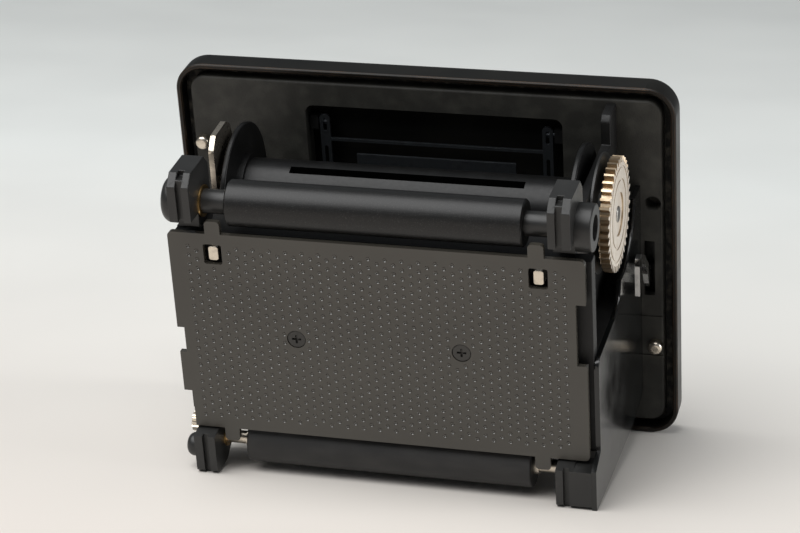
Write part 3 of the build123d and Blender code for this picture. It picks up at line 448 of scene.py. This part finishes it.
def turned_nickel():
    """Warm nickel with rings about the take-up axis, and painted shade on the teeth: a darker brown
    wherever the normal turns away from the faced side.
    """
    material, shader = new_finish("wheel_nickel", (0.66, 0.60, 0.51), 0.42, 1.0)
    links = material.node_tree.links
    low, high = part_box("takeup_wheel")
    middle = (low + high) / 2
    shift = combine(material, "ShaderNodeVectorMath", "SUBTRACT", object_place(material), middle)
    flat = combine(material, "ShaderNodeVectorMath", "MULTIPLY", shift.outputs["Vector"],
                   ACROSS_AXIS)
    radius = place_node(material, "ShaderNodeVectorMath")
    radius.operation = "LENGTH"
    rings = place_node(material, "ShaderNodeTexNoise", Scale=1 / RING_WIDTH, Detail=2.0)
    rings.noise_dimensions = "1D"
    links.new(flat.outputs["Vector"], radius.inputs[0])
    links.new(radius.outputs["Value"], rings.inputs["W"])
    tarnish = grain(material, 3.0, 4.0)
    faced = ramp(material, tarnish, 0.3, 0.65, (0.74, 0.66, 0.56), (0.92, 0.85, 0.76))
    # The cut teeth get a darker brown by their normal: painted shade for the flanks and the gaps
    # between the teeth.
    cut = ramp(material, tarnish, 0.3, 0.65, (0.34, 0.25, 0.16), (0.52, 0.42, 0.30))
    side = rescale(material, parts_of(material, face_normal(material))["X"], TOOTH_TO_SIDE)
    links.new(blend(material, side, cut, faced), shader.inputs["Base Color"])
    links.new(rescale(material, side, (0.0, 1.0), (1.0, FACED_METALLIC)), shader.inputs["Metallic"])
    links.new(spread(material, tarnish, 0.44, 0.34), shader.inputs["Roughness"])
    roughen(material, shader, rings.outputs["Fac"], 0.03, 0.7)
    return material


wheel_nickel = turned_nickel()

# %% [markdown]
# ## Finishes on the CAD parts
#
# Most parts have the right shape already. Each gets its finish here, from the slot that the
# record names for it.

# %% One finish per slot
FINISHES = {
    "cover_paint": cover_paint, "seal_foam": seal_foam, "panel_plastic": panel_plastic,
    "nickel": nickel, "steel_screw": steel_screw, "chrome": chrome, "spring_steel": spring_steel,
    "chassis_plastic": chassis_plastic, "gloss_black": gloss_black, "bracket_paint": bracket_paint,
    "brass": brass, "plate_paint": plate_coating, "roller_black": roller_black,
    "roller_rubber": roller_rubber, "wheel_nickel": wheel_nickel, "spool_plastic": spool_plastic,
}
for part in frame["record"]["subparts"]:
    paint(nodes[part["node"]], FINISHES[part["material_slot"]])
for name in ("pressure_plate_screws", "panel_screws"):
    paint(nodes[name], black_screw)


# %% [markdown]
# ## Soft edges
#
# No real edge is perfectly sharp. A narrow rounding catches the light, and it is what makes a part
# look made. The frame's meshes are loose triangles, so a Weld modifier joins them first, and a
# Bevel modifier then rounds only the edges that turn by more than its angle.

# %% Round the edges of the CAD parts
WELD_GAP = mm(0.001)
SOFT_SEGMENTS = 2
SHARP_FROM = math.radians(35)


def soften(name, width):
    """Weld and bevel a CAD part, in millimetres, with modifiers only."""
    part = nodes[name]
    weld = part.modifiers.new("join", "WELD")
    weld.merge_threshold = WELD_GAP
    bevel = part.modifiers.new("soft edge", "BEVEL")
    bevel.width = mm(width)
    bevel.segments = SOFT_SEGMENTS
    bevel.limit_method = "ANGLE"
    bevel.angle_limit = SHARP_FROM
    bevel.harden_normals = True
    bevel.use_clamp_overlap = True


SOFT_MM = {
    "top_left_bracket": 0.3, "top_right_bracket": 0.3, "bottom_left_foot": 0.3,
    "bottom_right_foot": 0.3, "right_side_cover": 0.2, "right_cheek": 0.25, "left_cheek": 0.2,
    "right_ledge": 0.15, "latch_slide": 0.12, "takeup_lever": 0.12, "supply_lever": 0.12,
    "inner_panel": 0.12, "cover_shell": 0.15, "lock_key_handle": 0.3, "lock_key_hub": 0.12,
    "front_bridge": 0.15, "spool_divider": 0.2, "roll_guide": 0.06,
}
for name, width in SOFT_MM.items():
    soften(name, width)


# %% [markdown]
# ## The dimpled pressure plate
#
# The real plate is stamped sheet with some nine hundred shallow dimples in a triangular pattern.
# They let the film slide without sticking. A bump map would look flat from the side, so the dimples
# are cut into the mesh. One small bowl is modelled and copied to every place, all the
# copies are joined, and one Boolean modifier cuts them out of a copy of the CAD plate together.
# The dimples are shaded smooth and the flat faces flat, because a smooth flat face with so many
# holes in it shows streaks from hole to hole.

# %% The plate's blank
DIMPLE_PITCH = mm(1.74)
COLUMN_PITCH = DIMPLE_PITCH * math.cos(math.radians(30))
COLUMNS, HALF_ROWS = 46, 11
DIMPLE_LOW, DIMPLE_HIGH = mm(-18.2), mm(17.9)      # the rows end at these heights
DIMPLE_WIDTH, DIMPLE_DEPTH = mm(0.80), mm(0.24)
BOWL_SEGMENTS, BOWL_RINGS = 12, 14
BOWL_ABOVE = mm(0.06)                              # the bowl stands this far out of the plate
FLAT_WITHIN = math.radians(0.5)
SMOOTH_BELOW = math.radians(40)
FLAT_NORMAL = 0.999                                # the normal's Y on a flat front or back
SCREW_HALF_WIDTH, SCREW_CLEAR = mm(1.6), mm(2.3)
WINDOW_HALF_PIN, WINDOW_CLEAR_X, WINDOW_CLEAR_Z = mm(0.95), mm(2.3), mm(2.5)


def plate_blank():
    """A welded copy of the CAD plate."""
    blank = nodes["pressure_plate"].copy()
    blank.data = nodes["pressure_plate"].data.copy()
    blank.name = "dimpled_plate"
    blank.parent = None
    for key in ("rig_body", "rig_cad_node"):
        if key in blank:
            del blank[key]
    bpy.context.scene.collection.objects.link(blank)
    choose(blank)
    bpy.ops.object.mode_set(mode="EDIT")
    bpy.ops.mesh.select_all(action="SELECT")
    bpy.ops.mesh.remove_doubles(threshold=WELD_GAP)
    bpy.ops.mesh.dissolve_limited(angle_limit=FLAT_WITHIN)
    bpy.ops.object.mode_set(mode="OBJECT")
    return blank


plate = plate_blank()
print("plate blank faces:", len(plate.data.polygons))


# %% One bowl, and where the bowls go
def dimple_bowl():
    """The cap of a small ball, placed so that it dips into the plate's face."""
    radius = (DIMPLE_WIDTH ** 2 / 4 + DIMPLE_DEPTH ** 2) / (2 * DIMPLE_DEPTH)
    bpy.ops.mesh.primitive_uv_sphere_add(segments=BOWL_SEGMENTS, ring_count=BOWL_RINGS,
                                         radius=radius)
    bowl = bpy.context.active_object
    bowl.rotation_euler = (math.radians(90), 0, 0)
    bowl.location = (0, DIMPLE_DEPTH - radius, 0)
    settle(bowl)
    bpy.ops.object.mode_set(mode="EDIT")
    bpy.ops.mesh.select_all(action="SELECT")
    bpy.ops.mesh.bisect(plane_co=(0, -BOWL_ABOVE, 0), plane_no=(0, -1, 0), use_fill=True,
                        clear_outer=True)
    bpy.ops.object.mode_set(mode="OBJECT")
    return bowl


def dimple_places():
    """(x, z) of every dimple, clear of the screws and the windows."""
    screws = [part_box("pressure_plate_screws")[end].x for end in (0, 1)]
    screw_x = (abs(screws[0]) + abs(screws[1])) / 2 - SCREW_HALF_WIDTH
    window_low, window_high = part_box("plate_guide_pins")
    window_x, window_z = window_high.x - WINDOW_HALF_PIN, (window_low.z + window_high.z) / 2
    places = []
    for column in range(COLUMNS):
        x = (column - (COLUMNS - 1) / 2) * COLUMN_PITCH
        for row in range(-HALF_ROWS, HALF_ROWS + 1):
            z = (row + 0.5 * (column % 2)) * DIMPLE_PITCH
            if not DIMPLE_LOW < z < DIMPLE_HIGH:
                continue
            near_screw = math.hypot(abs(x) - screw_x, z) < SCREW_CLEAR
            beside_window = abs(abs(x) - window_x) < WINDOW_CLEAR_X
            level_with_window = abs(z - window_z) < WINDOW_CLEAR_Z
            if not near_screw and not (beside_window and level_with_window):
                places.append((x, z))
    return places


bpy.ops.object.select_all(action="DESELECT")
bowl = dimple_bowl()
places = dimple_places()
print("dimples:", len(places))


# %% Cut all the dimples at once
def cut_dimples(plate, bowl, places):
    """Copy the bowl to every place, join the copies and cut them out of the plate."""
    bpy.ops.object.select_all(action="DESELECT")
    for x, z in places[1:]:
        copy = bowl.copy()
        copy.data = bowl.data.copy()
        copy.location = (x, 0, z)
        bpy.context.scene.collection.objects.link(copy)
        copy.select_set(True)
    bowl.location = (places[0][0], 0, places[0][1])
    bowl.select_set(True)
    bpy.context.view_layer.objects.active = bowl
    bpy.ops.object.join()
    settle(bowl)
    cut = plate.modifiers.new("dimples", "BOOLEAN")
    cut.object = bowl
    cut.solver = "EXACT"
    cut.use_self = False
    choose(plate)
    bpy.ops.object.modifier_apply(modifier=cut.name)
    bpy.data.objects.remove(bowl)


cut_dimples(plate, bowl, places)
choose(plate)
bpy.ops.object.shade_smooth_by_angle(angle=SMOOTH_BELOW)
for face in plate.data.polygons:
    if abs(face.normal.y) > FLAT_NORMAL:
        face.use_smooth = False
paint(plate, plate_coating)
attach(plate, "film_plate")
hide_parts("pressure_plate")
print("dimpled plate faces:", len(plate.data.polygons))

# %% [markdown]
# ## The table
#
# The insert stands on its two feet and leans back on the cover's lower lip, so in its own frame the
# table is tilted. The plane through those three contacts gives the tilt. The table's material lets
# light through from below, so that a camera under the table still sees the object.
# Its colour goes from warm and darker near to cool and brighter further off: painted light.

# %% Find the table's plane
FOOT_ROUNDING = mm(0.8)     # the foot touches this far behind its front face
TABLE_GAP = mm(0.05)


def low_front(name):
    """Y and Z of the low front edge of a part's box."""
    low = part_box(name)[0]
    return low.y, low.z


foot_y, foot_z = low_front("bottom_left_foot")
foot_y += FOOT_ROUNDING
cover_y, cover_z = low_front("cover_shell")
tilt = math.atan2(cover_z - foot_z, cover_y - foot_y)
print("table tilt in degrees:", round(math.degrees(tilt), 2))
table_turn = Matrix.Rotation(tilt, 3, "X")
contact = Vector((0, foot_y, foot_z)) + table_turn @ Vector((0, 0, -TABLE_GAP))


# %% Table
# The table's colour changes with Y as painted light: warmer and darker near the camera, cooler and
# brighter further off.
NEAR_TONE, FAR_TONE = (0.76, 0.695, 0.635), (0.90, 0.92, 0.89)
TONE_FROM, TONE_TO = mm(-90), mm(260)      # the tone changes between these, in Y
TABLE_WIDTH = mm(9000)


def table_finish():
    """Pale plastic, seen only from above, with painted light: warmer and darker near, cooler and
    brighter further off.
    """
    material, shader = new_finish("table_surface", NEAR_TONE, 0.45)
    links = material.node_tree.links
    away = parts_of(material, object_place(material))["Y"]
    depth = rescale(material, away, (TONE_FROM, TONE_TO))
    tone = ramp(material, depth, 0.0, 1.0, NEAR_TONE, FAR_TONE)
    links.new(tone, shader.inputs["Base Color"])
    links.new(spread(material, grain(material, 60.0, 6.0), 0.40, 0.55), shader.inputs["Roughness"])
    clear = place_node(material, "ShaderNodeBsdfTransparent")
    side = place_node(material, "ShaderNodeNewGeometry")
    mix = place_node(material, "ShaderNodeMixShader")
    output = material.node_tree.nodes["Material Output"]
    links.new(side.outputs["Backfacing"], mix.inputs["Fac"])
    links.new(shader.outputs["BSDF"], mix.inputs[1])
    links.new(clear.outputs["BSDF"], mix.inputs[2])
    links.new(mix.outputs["Shader"], output.inputs["Surface"])
    return material


def flat_table(width):
    """A round table top, wide enough to have no edge in view."""
    bpy.ops.object.select_all(action="DESELECT")
    bpy.ops.mesh.primitive_circle_add(vertices=64, radius=width / 2, fill_type="TRIFAN")
    return bpy.context.active_object


table = flat_table(TABLE_WIDTH)
table.matrix_world = Matrix.Translation(contact) @ table_turn.to_4x4()
settle(table)
paint(table, table_finish())

# %% [markdown]
# ## The camera
#
# A long lens, a little above the object and to its right. The lens and the place were worked
# out from the object's own parallel lines and known sizes.

# %% Place the camera
camera_data = bpy.data.cameras.new("camera")
camera_data.lens = 114.34
camera_data.sensor_width = 36
CAMERA_PLACE = (0.11697, -0.37226, 0.22268)
camera = bpy.data.objects.new("camera", camera_data)
bpy.context.scene.collection.objects.link(camera)
look_right = Vector((0.96435, 0.25834, -0.05735))
look_up = Vector((-0.07257, 0.46659, 0.88150))
look_back = Vector((0.25448, -0.84591, 0.46870))
aim = Matrix((look_right, look_up, look_back)).transposed().to_4x4()
camera.matrix_world = Matrix.Translation(CAMERA_PLACE) @ aim
bpy.context.scene.camera = camera


# %% [markdown]
# ## Light
#
# Black objects are lit by what they reflect. One large soft panel above and in front, a little to
# the left, gives the broad sheen on the rollers and whitens the table. A weaker one low on the
# right lights the face of the wheel. The world is pale where it is seen, and dim for everything
# that it lights, because a bright room all round would turn every black surface grey.

# %% Lights and world
AIM_AT = Vector((0, mm(20), 0))     # the middle of the object


def soft_panel(name, place, size, power):
    """A square area light, size metres wide, that faces the object. Its power is in watts."""
    data = bpy.data.lights.new(name, "AREA")
    data.size = size
    data.energy = power
    light = bpy.data.objects.new(name, data)
    bpy.context.scene.collection.objects.link(light)
    light.location = place
    light.rotation_euler = (AIM_AT - place).to_track_quat("-Z", "Y").to_euler()


up = table_turn @ Vector((0, 0, 1))
soft_panel("key", up * 0.95 + Vector((-0.30, -0.38, 0)), size=1.0, power=13.5)
soft_panel("right_fill", up * 0.22 + Vector((0.95, 0.05, 0)), size=0.5, power=4.5)


SEEN_COLOR, LIT_COLOR, LIT_STRENGTH = (0.60, 0.61, 0.59), (0.90, 0.95, 1.0), 0.18


def studio_world():
    """Pale to the camera, dim to the object."""
    world = bpy.data.worlds.new("studio")
    world.use_nodes = True
    tree = world.node_tree
    seen = tree.nodes["Background"]
    seen.inputs["Color"].default_value = (*SEEN_COLOR, 1)
    lit = tree.nodes.new("ShaderNodeBackground")
    lit.inputs["Color"].default_value = (*LIT_COLOR, 1)
    lit.inputs["Strength"].default_value = LIT_STRENGTH
    ray = tree.nodes.new("ShaderNodeLightPath")
    mix = tree.nodes.new("ShaderNodeMixShader")
    tree.links.new(ray.outputs["Is Camera Ray"], mix.inputs["Fac"])
    tree.links.new(lit.outputs["Background"], mix.inputs[1])
    tree.links.new(seen.outputs["Background"], mix.inputs[2])
    tree.links.new(mix.outputs["Shader"], tree.nodes["World Output"].inputs["Surface"])
    return world


bpy.context.scene.world = studio_world()
bpy.context.scene.view_settings.view_transform = "Standard"
